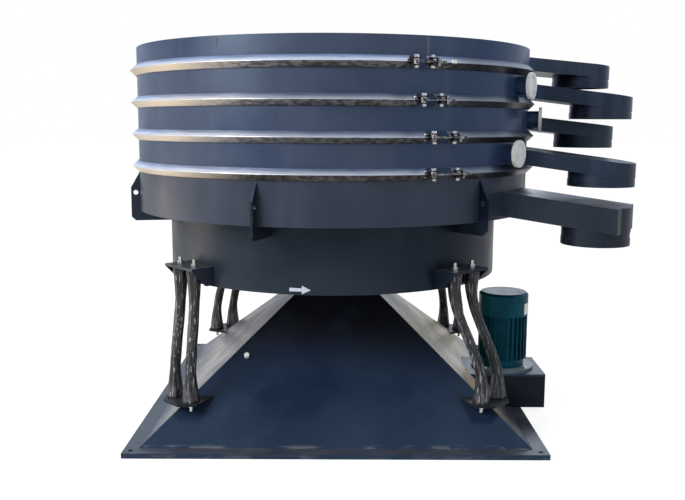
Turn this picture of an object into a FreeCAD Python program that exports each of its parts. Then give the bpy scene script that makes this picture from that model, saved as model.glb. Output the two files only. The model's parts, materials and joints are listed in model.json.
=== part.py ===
import FreeCAD, Part
import Sketcher
import math
import os

# Swing screen, a tumbler screener with five outlets. Millimetres, +Z up.
# The origin is the centre of the base plate's underside, on the floor and on the drive shaft's axis.
# The screen body stands one eccentric throw to -X of that axis at rest.

SIZES = {
    # Base plate and pyramid
    "base_side": 1900,
    "base_thickness": 24,
    "base_rim_width": 200,
    "anchor_inset": 35,
    "anchor_hole_radius": 11,
    "pyramid_inset": 64,
    "pyramid_top_side": 310,
    "pyramid_height": 629,
    "pyramid_wall_across": 12,
    "pyramid_cap_thickness": 16,
    "plug_radius": 12,
    "plug_length": 14,
    "plug_along": -438,
    "plug_height": 347,
    # Drive shaft and its bearings
    "eccentric_throw": 25,
    "shaft_radius": 50,
    "pulley_seat_radius": 40,
    "journal_radius": 45,
    "crank_radius": 78,
    "crank_thickness": 20,
    "journal_top_gap": 26,
    "running_clearance": 0.05,
    "bearing_outer_radius": 88,
    "housing_wall": 18,
    "housing_depth": 230,
    "housing_flange_radius": 148,
    "housing_flange_thickness": 16,
    "main_bearing_length": 200,
    "bearing_seat_depth": 8,
    "counterweight_radius": 330,
    "counterweight_thickness": 56,
    "counterweight_room": 40,
    # Belt drive
    "driven_pulley_radius": 240,
    "motor_pulley_radius": 60,
    "pulley_lift": 60,
    "pulley_width": 56,
    "pulley_seat_drop": 12,
    "pulley_room": 6,
    "belt_width": 48,
    "belt_thickness": 7,
    "belt_clearance": 0.3,
    "belt_box_bury": 200,
    "belt_box_overrun": 196,
    "belt_box_width": 330,
    "belt_box_height": 166,
    "belt_box_wall": 5,
    "motor_plate_thickness": 10,
    # Motor
    "motor_edge_inset": 75,
    "motor_y": -140,
    "motor_flange_radius": 162,
    "motor_flange_thickness": 14,
    "motor_flange_bolt_circle": 146,
    "flange_bolt_radius": 10,
    "flange_bolt_height": 9,
    "motor_frame_radius": 112,
    "motor_bore_radius": 66,
    "motor_frame_height": 282,
    "fin_reach": 14,
    "fin_thickness": 5,
    "fin_root": 2,
    "fin_bottom_margin": 40,
    "fin_top_margin": 14,
    "fin_count": 28,
    "fan_cover_radius": 128,
    "fan_cover_wall": 3,
    "fan_cover_height": 108,
    "cover_lap": 12,
    "motor_shaft_radius": 19,
    "rotor_radius": 65.4,
    "rotor_length": 150,
    "fan_radius": 95,
    "fan_blade_height": 40,
    "fan_blade_thickness": 4,
    "fan_hub_wall": 12,
    "fan_lift": 12,
    "shaft_way": 4,
    "terminal_box_width": 110,
    "terminal_box_depth": 62,
    "terminal_box_height": 90,
    # Rubber legs
    "foot_plate_lift": 176,
    "foot_plate_thickness": 12,
    "foot_plate_root": 110,
    "foot_plate_corner": 45,
    "foot_plate_margin": 4,
    "foot_standoff": 45.2,
    "foot_half_spacing": 61.5,
    "leg_top_standoff": 60.6,
    "leg_top_half_spacing": 60.1,
    "leg_twist": -3,
    "leg_head_length": 200,
    "leg_gap": 0.3,
    "leg_radius": 27.5,
    "leg_top_radius": 36,
    "leg_top_plate": 12,
    "leg_foot_radius": 42,
    "foot_flare_height": 70,
    "leg_bend_radius": 110,
    "stud_radius": 8,
    "stud_length": 34,
    "stud_nut_radius": 14.5,
    "stud_nut_height": 15,
    # Drum, brackets, hub and lifting plates
    "drum_radius": 848,
    "drum_wall": 8,
    "drum_lift": 65,
    "drum_height": 318,
    "bracket_rise": 82,
    "bracket_root": 40,
    "bracket_reach": 110,
    "bracket_width": 234,
    "bracket_thickness": 12,
    "bracket_gusset_thickness": 10,
    "bracket_gusset_height": 76,
    "bracket_gusset_foot": 34,
    "hub_wall": 16,
    "hub_room": 27,
    "hub_rib_thickness": 10,
    "hub_rib_rise": 58,
    "hub_rib_slope": 60,
    "hub_rib_root": 4,
    "seam_gap": 0.3,
    "gusset_thickness": 11,
    "gusset_reach": 47,
    "gusset_drop": 60,
    "gusset_chamfer": 20,
    "gusset_shoulder_rise": 109,
    "gusset_top_rise": 190,
    "gusset_first_angle": 11.5,
    "lifting_hole_radius": 12,
    "lifting_hole_rise": 83,
    # Screen body
    "body_radius": 1000,
    "body_wall": 10,
    "pan_floor": 8,
    "pan_height": 223,
    "deck_height": 155,
    "hood_height": 110,
    "hood_top_thickness": 6,
    "inlet_radius": 125,
    "inlet_wall": 5,
    "inlet_height": 64,
    "sieve_thickness": 4,
    "sieve_inset": 1,
    "flange_reach": 25,
    "flange_slope_height": 24,
    "support_bar_width": 12,
    "support_bar_depth": 34,
    "support_bar_count": 4,
    # Clamp rings and their bolts
    "clamp_half_height": 26.5,
    "clamp_seat_gap": 0.6,
    "clamp_band": 5.2,
    "pin_offset": 21,
    "pin_radius": 7,
    "pin_nut_radius": 11,
    "pin_nut_height": 10,
    "lug_inner": 12,
    "lug_thickness": 5,
    "lug_overhang": 14,
    "lug_length": 30,
    "fork_length": 20,
    "eye_radius": 13,
    "eye_height": 20,
    "eye_room": 3,
    "bolt_radius": 6,
    "bolt_block_length": 9,
    "bolt_block_width": 20,
    "bolt_nut_radius": 11,
    "bolt_nut_height": 9.6,
    "bolt_slack": 3,
    "bolt_tail": 34,
    # Outlets
    "spout_radius": 154,
    "outlet_wall": 4,
    "duct_height": 70,
    "duct_seat": 2.5,
    "spout_collar": 56,
    "spout_step": 3,
    "spout_band_height": 32,
    "spout_band_thickness": 2,
    "pan_duct_height": 112,
    "pan_duct_rise": 14,
    "pan_duct_overrun": 132,
    "pan_spout_collar": 76,
    # Ports with caps
    "port_radius": 44,
    "port_wall": 4,
    "port_reach": 54,
    "cap_radius": 62,
    "cap_thickness": 15,
    "cap_rim": 15,
    "cap_recess": 9,
}

# Outlets from the top down: azimuth, reach of the spout's axis past the body's wall, slope of the duct.
OUTLETS = [(12.0, 400, 4.0), (-7.4, 362, 7.0), (4.0, 346, 6.2), (-23.1, 371, 7.0), (-29.8, 385, 6.0)]
# Azimuths of the capped ports on the three deck frames, from the top down.
PORTS = [-29.5, -13.5, -36.5]
# Signs of X and Y at the four corners, in turn.
CORNERS = [(-1, -1), (1, -1), (1, 1), (-1, 1)]
# Pins of each clamp ring from the top down: azimuth of the bolt's pin and of the fork.
CLAMP_PINS = [(-70.4, -66.4), (-68.4, -63.9), (-65.6, -60.1), (-65.5, -58.9)]

doc = FreeCAD.newDocument("swing_screen")
sheet = doc.addObject("Spreadsheet::Sheet", "sizes")
nodes = []


class Size:
    """A number together with the sheet formula that gives it."""

    def __init__(self, value, formula):
        self.value = value
        self.formula = formula

    def __add__(self, other):
        other = as_size(other)
        return Size(self.value + other.value, f"({self.formula} + {other.formula})")

    def __sub__(self, other):
        other = as_size(other)
        return Size(self.value - other.value, f"({self.formula} - {other.formula})")

    def __mul__(self, other):
        other = as_size(other)
        return Size(self.value * other.value, f"({self.formula} * {other.formula})")

    def __truediv__(self, other):
        other = as_size(other)
        return Size(self.value / other.value, f"({self.formula} / {other.formula})")

    def __neg__(self):
        return Size(-self.value, f"(-1 * {self.formula})")

    def __radd__(self, other):
        return as_size(other) + self

    def __rsub__(self, other):
        return as_size(other) - self

    def __rmul__(self, other):
        return as_size(other) * self

    def __rtruediv__(self, other):
        return as_size(other) / self


def as_size(number):
    return number if isinstance(number, Size) else Size(float(number), f"({float(number):.6f})")


def sine(angle):
    angle = as_size(angle)
    return Size(math.sin(math.radians(angle.value)), f"sin({angle.formula})")


def cosine(angle):
    angle = as_size(angle)
    return Size(math.cos(math.radians(angle.value)), f"cos({angle.formula})")


def tangent(angle):
    angle = as_size(angle)
    return Size(math.tan(math.radians(angle.value)), f"tan({angle.formula})")


def arctangent(ratio):
    return Size(math.degrees(math.atan(ratio.value)), f"(atan({ratio.formula}) / 1 deg)")


def arctangent2(rise, run):
    angle = math.degrees(math.atan2(rise.value, run.value))
    return Size(angle, f"(atan2({rise.formula}; {run.formula}) / 1 deg)")


def square_root(number):
    return Size(math.sqrt(number.value), f"sqrt({number.formula})")


def fill_sheet(values):
    """Write each size and its name to the sheet, and hand back the named sizes."""
    sizes = {}
    for row, (alias, value) in enumerate(values.items(), start=1):
        sheet.set(f"A{row}", alias)
        sheet.set(f"B{row}", str(value))
        sheet.setAlias(f"B{row}", alias)
        sizes[alias] = Size(float(value), f"sizes.{alias}")
    doc.recompute()
    return sizes


def listed_sizes():
    """The sizes that the outlets, ports and clamp pins take one by one."""
    listed = {}
    for number, (angle, reach, slope) in enumerate(OUTLETS, start=1):
        listed[f"outlet_{number}_angle"] = angle
        listed[f"outlet_{number}_reach"] = reach
        listed[f"outlet_{number}_slope"] = slope
    for number, angle in enumerate(PORTS, start=1):
        listed[f"port_{number}_angle"] = angle
    for number, (pin_angle, fork_angle) in enumerate(CLAMP_PINS, start=1):
        listed[f"pin_{number}_angle"] = pin_angle
        listed[f"fork_{number}_angle"] = fork_angle
    return listed


S = fill_sheet({**SIZES, **listed_sizes()})


def bind(thing, setting, size):
    thing.setExpression(setting, as_size(size).formula)


def place(thing, x=0, y=0, z=0, yaw=0, pitch=0):
    """Bind a piece's placement: turned by pitch about Y, then by yaw about Z, then moved."""
    x, y, z, yaw, pitch = (as_size(value).formula for value in (x, y, z, yaw, pitch))
    thing.setExpression("Placement", f"placement(vector({x}; {y}; {z}); rotation({yaw}; {pitch}; 0))")
    return thing


def box(name, length, width, height, x=0, y=0, z=0):
    piece = doc.addObject("Part::Box", name)
    bind(piece, "Length", length)
    bind(piece, "Width", width)
    bind(piece, "Height", height)
    return place(piece, x, y, z)


def cylinder(name, radius, height, x=0, y=0, z=0, yaw=0, pitch=0):
    piece = doc.addObject("Part::Cylinder", name)
    bind(piece, "Radius", radius)
    bind(piece, "Height", height)
    return place(piece, x, y, z, yaw, pitch)


def hexagon(name, radius, height, x=0, y=0, z=0, yaw=0, pitch=0):
    piece = doc.addObject("Part::Prism", name)
    piece.Polygon = 6
    bind(piece, "Circumradius", radius)
    bind(piece, "Height", height)
    return place(piece, x, y, z, yaw, pitch)


def fuse(name, pieces):
    joined = doc.addObject("Part::MultiFuse", name)
    joined.Shapes = pieces
    joined.Refine = True
    return joined


def cut(name, base, tool):
    left = doc.addObject("Part::Cut", name)
    left.Base = base
    left.Tool = tool
    return left


def overlap(name, first, second):
    shared = doc.addObject("Part::Common", name)
    shared.Base = first
    shared.Tool = second
    return shared


def group(name, pieces):
    """Separate solids of one node."""
    together = doc.addObject("Part::Compound", name)
    together.Links = pieces
    return together


def new_body(name):
    return doc.addObject("PartDesign::Body", name)


def draw_outline(body, role, corners, lift=0):
    """A closed outline of straight edges on one of the body's planes, each corner held by the sheet."""
    plane = next(feature for feature in body.Origin.OriginFeatures if feature.Role == role)
    sketch = body.newObject("Sketcher::SketchObject", f"{body.Name}_outline")
    sketch.AttachmentSupport = (plane, [""])
    sketch.MapMode = "FlatFace"
    bind(sketch, "AttachmentOffset.Base.z", lift)
    corners = [(as_size(across), as_size(up)) for across, up in corners]
    points = [FreeCAD.Vector(across.value, up.value, 0) for across, up in corners]
    for index, point in enumerate(points):
        sketch.addGeometry(Part.LineSegment(point, points[(index + 1) % len(points)]))
    for index in range(len(points)):
        sketch.addConstraint(Sketcher.Constraint("Coincident", index, 2, (index + 1) % len(points), 1))
    for index, corner in enumerate(corners):
        for kind, size in zip(("DistanceX", "DistanceY"), corner):
            number = sketch.addConstraint(Sketcher.Constraint(kind, -1, 1, index, 1, size.value))
            sketch.setExpression(f"Constraints[{number}]", size.formula)
    return sketch


def revolve(name, corners, angle=360):
    """A ring or disc whose outline is given as (radius, height) corners."""
    body = new_body(name)
    sketch = draw_outline(body, "XZ_Plane", corners)
    turn = body.newObject("PartDesign::Revolution", f"{name}_turn")
    turn.Profile = sketch
    turn.ReferenceAxis = (sketch, ["V_Axis"])
    bind(turn, "Angle", angle)
    return body


def pad_up(name, corners, bottom, height):
    """A plate whose outline is seen from above."""
    body = new_body(name)
    sketch = draw_outline(body, "XY_Plane", corners, bottom)
    pad = body.newObject("PartDesign::Pad", f"{name}_pad")
    pad.Profile = sketch
    bind(pad, "Length", height)
    return body


def pad_upright(name, corners, thickness):
    """An upright plate whose outline is given as (distance from the axis, height) corners."""
    body = new_body(name)
    sketch = draw_outline(body, "XZ_Plane", corners)
    pad = body.newObject("PartDesign::Pad", f"{name}_pad")
    pad.Profile = sketch
    pad.SideType = "Symmetric"
    bind(pad, "Length", thickness)
    return body


def square(side):
    return [(-side / 2, -side / 2), (side / 2, -side / 2), (side / 2, side / 2), (-side / 2, side / 2)]


def frustum(name, low_side, low_height, high_side, high_height):
    """A square block that tapers upwards. The wedge's own Y axis is turned to stand up."""
    wedge = doc.addObject("Part::Wedge", name)
    for setting, size in (("Xmin", -low_side / 2), ("Xmax", low_side / 2), ("Zmin", -low_side / 2),
                          ("Zmax", low_side / 2), ("X2min", -high_side / 2), ("X2max", high_side / 2),
                          ("Z2min", -high_side / 2), ("Z2max", high_side / 2), ("Ymin", low_height),
                          ("Ymax", high_height)):
        bind(wedge, setting, size)
    wedge.Placement = FreeCAD.Placement(FreeCAD.Vector(0, 0, 0), FreeCAD.Rotation(0, 0, 90))
    return wedge


def keep(piece, name, on_body=False):
    """Name a finished sub-part, and put it on the screen body's axis if it swings."""
    piece.Label = name
    if on_body:
        place(piece, -S["eccentric_throw"])
    nodes.append(piece)
    return piece


# Heights that several pieces share
pyramid_foot = S["base_side"] - S["pyramid_inset"] * 2
pyramid_top = S["base_thickness"] + S["pyramid_height"]
pulley_bottom = S["base_thickness"] + S["pulley_lift"]
foot_height = S["base_thickness"] + S["foot_plate_lift"]
belt_box_top = S["base_thickness"] + S["belt_box_height"]
motor_seat = belt_box_top + S["motor_plate_thickness"]
motor_x = S["base_side"] / 2 - S["motor_edge_inset"]
frame_bottom = motor_seat + S["motor_flange_thickness"]
frame_top = frame_bottom + S["motor_frame_height"]
weight_top = (pyramid_top + S["housing_flange_thickness"] + S["counterweight_room"]
              + S["counterweight_thickness"])
crank_bottom = weight_top + S["seam_gap"]
crank_top = crank_bottom + S["crank_thickness"]
drum_bottom = pyramid_top + S["drum_lift"]
bracket_height = drum_bottom + S["bracket_rise"]
leg_joint_height = bracket_height - S["leg_head_length"]
hub_bottom = crank_top + S["hub_room"]
pan_bottom = drum_bottom + S["drum_height"]
pan_top = pan_bottom + S["pan_height"]
joints = [pan_top + S["deck_height"] * count for count in (3, 2, 1, 0)]
hood_top = joints[0] + S["hood_height"]
half_sieve = S["sieve_thickness"] / 2
body_bore = S["body_radius"] - S["body_wall"]
flange_radius = S["body_radius"] + S["flange_reach"]
pin_circle = flange_radius + S["pin_offset"]


def pyramid_half(height):
    """Half the pyramid's outer side at a height."""
    taper = (pyramid_foot - S["pyramid_top_side"]) / 2 / S["pyramid_height"]
    return pyramid_foot / 2 - (height - S["base_thickness"]) * taper


def make_base_plate():
    plate = pad_up("base_slab", square(S["base_side"]), 0, S["base_thickness"])
    window_side = S["base_side"] - S["base_rim_width"] * 2
    window = box("base_window", window_side, window_side, S["base_thickness"] * 3,
                 -window_side / 2, -window_side / 2, -S["base_thickness"])
    half = S["base_side"] / 2 - S["anchor_inset"]
    holes = []
    for number, (side_x, side_y) in enumerate(CORNERS, start=1):
        holes.append(cylinder(f"anchor_hole_{number}", S["anchor_hole_radius"], S["base_thickness"] * 3,
                              half * side_x, half * side_y, -S["base_thickness"]))
    keep(cut("base_plate_cut", plate, group("base_openings", [window] + holes)), "base_plate")


def make_pyramid():
    """The hollow pyramid, its cap with the bearing seat, and the way out for the belt."""
    envelope = frustum("pyramid_envelope", pyramid_foot, S["base_thickness"], S["pyramid_top_side"],
                       pyramid_top)
    cap_bottom = pyramid_top - S["pyramid_cap_thickness"]
    walls = S["pyramid_wall_across"] * 2
    hollow = frustum("pyramid_hollow", pyramid_foot - walls, S["base_thickness"],
                     pyramid_half(cap_bottom) * 2 - walls, cap_bottom)
    bore = cylinder("cap_bore", S["bearing_outer_radius"] + S["housing_wall"] + S["seam_gap"],
                    S["pyramid_cap_thickness"] * 3, 0, 0, cap_bottom - S["pyramid_cap_thickness"])
    way_bottom = S["base_thickness"] + S["belt_box_wall"]
    way_width = S["belt_box_width"] - S["belt_box_wall"] * 2
    way = box("belt_way", pyramid_foot, way_width, belt_box_top - way_bottom, belt_box_start,
              S["motor_y"] - way_width / 2, way_bottom)
    keep(cut("pyramid_cut", envelope, group("pyramid_spaces", [hollow, bore, way])), "pyramid_housing")

    slope = arctangent((pyramid_foot - S["pyramid_top_side"]) / 2 / S["pyramid_height"])
    plug = cylinder("plug", S["plug_radius"], S["plug_length"])
    plug.setExpression("Placement", plug_placement(pyramid_half(S["plug_height"]), slope))
    keep(plug, "pyramid_plug")
    return envelope


def plug_placement(half, slope):
    """The plug's head stands square to the front face: its axis leans back from -Y by the face's slope."""
    tilt = (90 - slope).formula
    out = (-half - S["seam_gap"]).formula
    spot = f"vector({S['plug_along'].formula}; {out}; {S['plug_height'].formula})"
    return f"placement({spot}; rotation(vector(1; 0; 0); {tilt}))"


belt_box_start = pyramid_half(belt_box_top) - S["belt_box_bury"]


def make_belt_box(envelope):
    """The belt's sheet cover beside the pyramid and the plate on it that carries the motor."""
    side = S["motor_y"] - S["belt_box_width"] / 2
    length = motor_x + S["belt_box_overrun"] - belt_box_start
    wall = S["belt_box_wall"]
    shell = box("belt_box_shell", length, S["belt_box_width"], S["belt_box_height"], belt_box_start, side,
                S["base_thickness"])
    room = box("belt_box_room", length, S["belt_box_width"] - wall * 2, S["belt_box_height"],
               belt_box_start - wall, side + wall, S["base_thickness"] + wall)
    hollow = cut("belt_box_hollow", shell, room)
    keep(cut("belt_box_cut", hollow, envelope), "belt_box")

    plate = box("motor_plate_slab", length, S["belt_box_width"], S["motor_plate_thickness"],
                belt_box_start, side, belt_box_top)
    way = cylinder("pulley_way", S["motor_pulley_radius"] + S["pulley_room"], S["motor_plate_thickness"] * 3,
                   motor_x, S["motor_y"], belt_box_top - S["motor_plate_thickness"])
    drilled = cut("motor_plate_drilled", plate, way)
    keep(cut("motor_plate_cut", drilled, envelope), "motor_plate")


def make_main_bearing():
    bore = S["bearing_outer_radius"]
    outer = bore + S["housing_wall"]
    bottom = pyramid_top - S["housing_depth"]
    top = pyramid_top + S["housing_flange_thickness"]
    housing = revolve("bearing_tube", [(bore, bottom), (outer, bottom), (outer, pyramid_top),
                                       (S["housing_flange_radius"], pyramid_top),
                                       (S["housing_flange_radius"], top), (bore, top)])
    keep(housing, "bearing_housing")
    inner = S["shaft_radius"] + S["running_clearance"]
    ring_top = top - S["housing_flange_thickness"]
    ring_bottom = ring_top - S["main_bearing_length"]
    ring = revolve("bearing_ring", [(inner, ring_bottom), (bore - S["seam_gap"], ring_bottom),
                                    (bore - S["seam_gap"], ring_top), (inner, ring_top)])
    keep(ring, "main_bearing")


def make_shaft():
    """The shaft on the base's axis, its crank, and the journal one throw away that carries the body."""
    seat_bottom = pulley_bottom - S["pulley_seat_drop"]
    seat_top = pulley_bottom + S["pulley_width"]
    pulley_seat = cylinder("pulley_seat", S["pulley_seat_radius"], seat_top - seat_bottom, 0, 0, seat_bottom)
    shank = cylinder("shank", S["shaft_radius"], crank_bottom - seat_top, 0, 0, seat_top)
    crank = cylinder("crank", S["crank_radius"], S["crank_thickness"], 0, 0, crank_bottom)
    journal = cylinder("journal", S["journal_radius"], pan_bottom - S["journal_top_gap"] - crank_top,
                       -S["eccentric_throw"], 0, crank_top)
    keep(fuse("shaft_pieces", [pulley_seat, shank, crank, journal]), "eccentric_shaft")

    bore = S["pulley_seat_radius"] + S["seam_gap"]
    rim_top = seat_top - S["seam_gap"]
    pulley = revolve("pulley_disc", [(bore, pulley_bottom), (S["driven_pulley_radius"], pulley_bottom),
                                     (S["driven_pulley_radius"], rim_top), (bore, rim_top)])
    keep(pulley, "driven_pulley")

    inner = S["shaft_radius"] + S["seam_gap"]
    thickness = S["counterweight_thickness"]
    weight = revolve("weight_sector", [(inner, 0), (S["counterweight_radius"], 0),
                                       (S["counterweight_radius"], thickness), (inner, thickness)], 180)
    place(weight, 0, 0, weight_top - thickness, 90)
    keep(fuse("weight_pieces", [weight, weight_collar(weight_top)]), "counterweight")


def weight_collar(top):
    """The collar that holds the counterweight round the shaft."""
    bore = S["shaft_radius"] + S["seam_gap"]
    outer = S["shaft_radius"] + S["housing_wall"]
    return revolve("weight_collar", [(bore, top - S["counterweight_thickness"]),
                                     (outer, top - S["counterweight_thickness"]), (outer, top), (bore, top)])


def belt_face(offset):
    """The belt's loop at a distance outside the pulley rims, as a face at height zero."""
    big = S["driven_pulley_radius"].value + offset
    small = S["motor_pulley_radius"].value + offset
    far = FreeCAD.Vector(motor_x.value, S["motor_y"].value, 0)
    heading = math.atan2(far.y, far.x)
    lean = math.acos((big - small) / far.Length)
    up, down = heading + lean, heading - lean

    def point(centre, radius, angle):
        return centre + FreeCAD.Vector(radius * math.cos(angle), radius * math.sin(angle), 0)

    centre = FreeCAD.Vector(0, 0, 0)
    edges = [
        Part.LineSegment(point(centre, big, down), point(far, small, down)).toShape(),
        Part.Arc(point(far, small, down), point(far, small, heading), point(far, small, up)).toShape(),
        Part.LineSegment(point(far, small, up), point(centre, big, up)).toShape(),
        Part.Arc(point(centre, big, up), point(centre, big, heading + math.pi),
                 point(centre, big, down)).toShape(),
    ]
    return Part.Face(Part.Wire(edges))


def make_belt():
    belt = doc.addObject("Part::Feature", "belt_loop")
    inner = S["belt_clearance"].value
    loop = belt_face(inner + S["belt_thickness"].value).cut(belt_face(inner))
    belt.Shape = loop.extrude(FreeCAD.Vector(0, 0, S["belt_width"].value))
    place(belt, 0, 0, pulley_bottom + (S["pulley_width"] - S["belt_width"]) / 2)
    keep(belt, "drive_belt")


def make_motor():
    x, y = motor_x, S["motor_y"]
    way = S["motor_shaft_radius"] + S["shaft_way"]
    flange = revolve("flange_disc", [(way, 0), (S["motor_flange_radius"], 0),
                                     (S["motor_flange_radius"], S["motor_flange_thickness"]),
                                     (way, S["motor_flange_thickness"])])
    keep(place(flange, x, y, motor_seat), "motor_flange")

    rim = S["fan_cover_radius"] - S["fan_cover_wall"] - S["seam_gap"]
    rim_bottom = S["motor_frame_height"] - S["cover_lap"]
    frame = revolve("motor_tube", [(S["motor_bore_radius"], 0), (S["motor_frame_radius"], 0),
                                   (S["motor_frame_radius"], rim_bottom), (rim, rim_bottom),
                                   (rim, S["motor_frame_height"]),
                                   (S["motor_bore_radius"], S["motor_frame_height"])])
    add_fins(frame)
    keep(place(frame, x, y, frame_bottom), "motor_frame")

    cover = revolve("cover_cup", fan_cover_outline())
    keep(place(cover, x, y, frame_top - S["cover_lap"]), "fan_cover")

    case = box("terminal_case", S["terminal_box_width"], S["terminal_box_depth"], S["terminal_box_height"],
               -S["terminal_box_width"] / 2, S["motor_frame_radius"], S["motor_frame_height"] / 3)
    fins_reach = S["motor_frame_radius"] + S["fin_reach"] + S["seam_gap"]
    terminal = cut("terminal_cut", case, cylinder("terminal_seat", fins_reach, S["motor_frame_height"]))
    keep(place(terminal, x, y, frame_bottom), "terminal_box")

    bolts = []
    for number in range(4):
        angle = 45 + 90 * number
        spot_x = x + S["motor_flange_bolt_circle"] * cosine(angle)
        spot_y = y + S["motor_flange_bolt_circle"] * sine(angle)
        bolts.append(hexagon(f"flange_bolt_{number + 1}", S["flange_bolt_radius"], S["flange_bolt_height"],
                             spot_x, spot_y, frame_bottom))
    keep(group("motor_bolt_group", bolts), "motor_bolts")


def add_fins(frame):
    """Cooling fins round the motor, patterned about its axis."""
    doc.recompute()
    root = S["motor_frame_radius"] - S["fin_root"]
    tip = S["motor_frame_radius"] + S["fin_reach"]
    half = S["fin_thickness"] / 2
    corners = [(root, -half), (tip, -half), (tip, half), (root, half)]
    sketch = draw_outline(frame, "XY_Plane", corners, S["fin_bottom_margin"])
    fin = frame.newObject("PartDesign::Pad", "fin")
    fin.Profile = sketch
    bind(fin, "Length", S["motor_frame_height"] - S["fin_bottom_margin"] - S["fin_top_margin"])
    fins = frame.newObject("PartDesign::PolarPattern", "fins")
    fins.Originals = [fin]
    axis = next(feature for feature in frame.Origin.OriginFeatures if feature.Role == "Z_Axis")
    fins.Axis = (axis, [""])
    fins.Angle = 360
    bind(fins, "Occurrences", S["fin_count"])
    frame.Tip = fins


def fan_cover_outline():
    """A cup over the fan with a bevelled crown."""
    radius, wall = S["fan_cover_radius"], S["fan_cover_wall"]
    height = S["cover_lap"] + S["fan_cover_height"]
    bevel = wall * 4
    return [(radius - wall, 0), (radius, 0), (radius, height - bevel), (radius - bevel, height),
            (0, height), (0, height - bevel), (radius - wall, height - bevel)]


def make_rotor():
    x, y = motor_x, S["motor_y"]
    shaft_radius = S["motor_shaft_radius"]
    top = frame_top + S["fan_cover_height"] / 2
    shaft = cylinder("rotor_shaft", shaft_radius, top - pulley_bottom, x, y, pulley_bottom)
    keep(shaft, "motor_shaft")
    bore = shaft_radius + S["seam_gap"]
    middle = frame_bottom + (S["motor_frame_height"] - S["rotor_length"]) / 2
    core = revolve("rotor_core", [(bore, 0), (S["rotor_radius"], 0), (S["rotor_radius"], S["rotor_length"]),
                                  (bore, S["rotor_length"])])
    keep(place(core, x, y, middle), "motor_rotor")

    rim, width = S["motor_pulley_radius"], S["pulley_width"]
    pulley = revolve("small_pulley", [(bore, 0), (rim, 0), (rim, width), (bore, width)])
    keep(place(pulley, x, y, pulley_bottom), "motor_pulley")

    hub_radius, height = shaft_radius + S["fan_hub_wall"], S["fan_blade_height"]
    blades = [revolve("fan_hub", [(bore, 0), (hub_radius, 0), (hub_radius, height), (bore, height)])]
    start = (bore + hub_radius) / 2
    for number in range(6):
        blade = box(f"fan_blade_{number + 1}", S["fan_radius"] - start, S["fan_blade_thickness"], height)
        place(blade, start * cosine(60 * number), start * sine(60 * number), 0, 60 * number)
        blades.append(blade)
    keep(place(fuse("fan_pieces", blades), x, y, frame_top + S["fan_lift"]), "motor_fan")


def leg_places():
    """Foot and neutral top of each leg, two legs to a corner."""
    foot_out = pyramid_half(foot_height) * square_root(as_size(2)) + S["foot_standoff"]
    top_out = S["drum_radius"] + S["leg_top_standoff"]
    places = []
    for corner in range(4):
        for side in (-1, 1):
            foot = beside_corner(corner, foot_out, S["foot_half_spacing"] * side, 0)
            top = beside_corner(corner, top_out, S["leg_top_half_spacing"] * side, S["leg_twist"])
            places.append((foot, top))
    return places


def beside_corner(corner, out, aside, turned):
    """A spot so far out along a corner's diagonal and so far to its left, turned about the axis."""
    angle = 225 + 90 * corner + as_size(turned)
    return (out * cosine(angle) - aside * sine(angle), out * sine(angle) + aside * cosine(angle))


def turn_segment(name, bend, x, y, z, yaw, roll):
    """A bent stretch of a leg's column: part of a torus in an upright plane."""
    torus = doc.addObject("Part::Torus", name)
    bind(torus, "Radius1", S["leg_bend_radius"])
    bind(torus, "Radius2", S["leg_radius"])
    bind(torus, "Angle3", bend)
    x, y, z, yaw = (as_size(value).formula for value in (x, y, z, yaw))
    torus.setExpression("Placement", f"placement(vector({x}; {y}; {z}); rotation({yaw}; 0; {roll}))")
    return torus


def leg_column(number, foot, top):
    """The lower part of a leg: a flared foot, a bend, a leaning stretch and a bend back to upright."""
    radius, bend_radius = S["leg_radius"], S["leg_bend_radius"]
    shift_x, shift_y = top[0] - foot[0], top[1] - foot[1]
    shift = square_root(shift_x * shift_x + shift_y * shift_y)
    heading = arctangent2(shift_y, shift_x)
    along_x, along_y = shift_x / shift, shift_y / shift
    start = foot_height + S["foot_flare_height"]
    height = leg_joint_height - start
    twice = bend_radius * 2
    run = square_root(height * height + (shift - twice) * (shift - twice) - twice * twice)
    lean = arctangent(twice / run) - arctangent((twice - shift) / height)
    flare = doc.addObject("Part::Cone", f"leg_{number}_flare")
    bind(flare, "Radius1", S["leg_foot_radius"])
    bind(flare, "Radius2", radius)
    bind(flare, "Height", S["foot_flare_height"])
    place(flare, foot[0], foot[1], foot_height)
    low = turn_segment(f"leg_{number}_low_bend", lean, foot[0] + along_x * bend_radius,
                       foot[1] + along_y * bend_radius, start, heading + 180, 90)
    aside, rise = bend_radius * (1 - cosine(lean)), bend_radius * sine(lean)
    straight = cylinder(f"leg_{number}_straight", radius, run, foot[0] + along_x * aside,
                        foot[1] + along_y * aside, start + rise, heading, lean)
    high = turn_segment(f"leg_{number}_high_bend", lean, top[0] - along_x * bend_radius,
                        top[1] - along_y * bend_radius, leg_joint_height, heading, -90)
    return fuse(f"leg_{number}_column", [flare, low, straight, high])


def leg_head(number, top):
    """The upper part of a leg: it slants one throw to -X, up to the disc that it is bonded to."""
    bottom = leg_joint_height + S["leg_gap"]
    disc_bottom = bracket_height - S["leg_gap"] - S["leg_top_plate"]
    rise, throw = disc_bottom - bottom, S["eccentric_throw"]
    section = doc.addObject("Part::Circle", f"leg_{number}_section")
    bind(section, "Radius", S["leg_radius"])
    place(section, top[0], top[1], bottom)
    slant = doc.addObject("Part::Extrusion", f"leg_{number}_slant")
    slant.Base = section
    slant.DirMode = "Custom"
    slant.Solid = True
    slant.setExpression("Dir", f"vector({(-throw).formula}; 0; {rise.formula})")
    bind(slant, "LengthFwd", square_root(throw * throw + rise * rise))
    disc = cylinder(f"leg_{number}_disc", S["leg_top_radius"], S["leg_top_plate"], top[0] - throw, top[1],
                    disc_bottom)
    return fuse(f"leg_{number}_head", [slant, disc])


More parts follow.
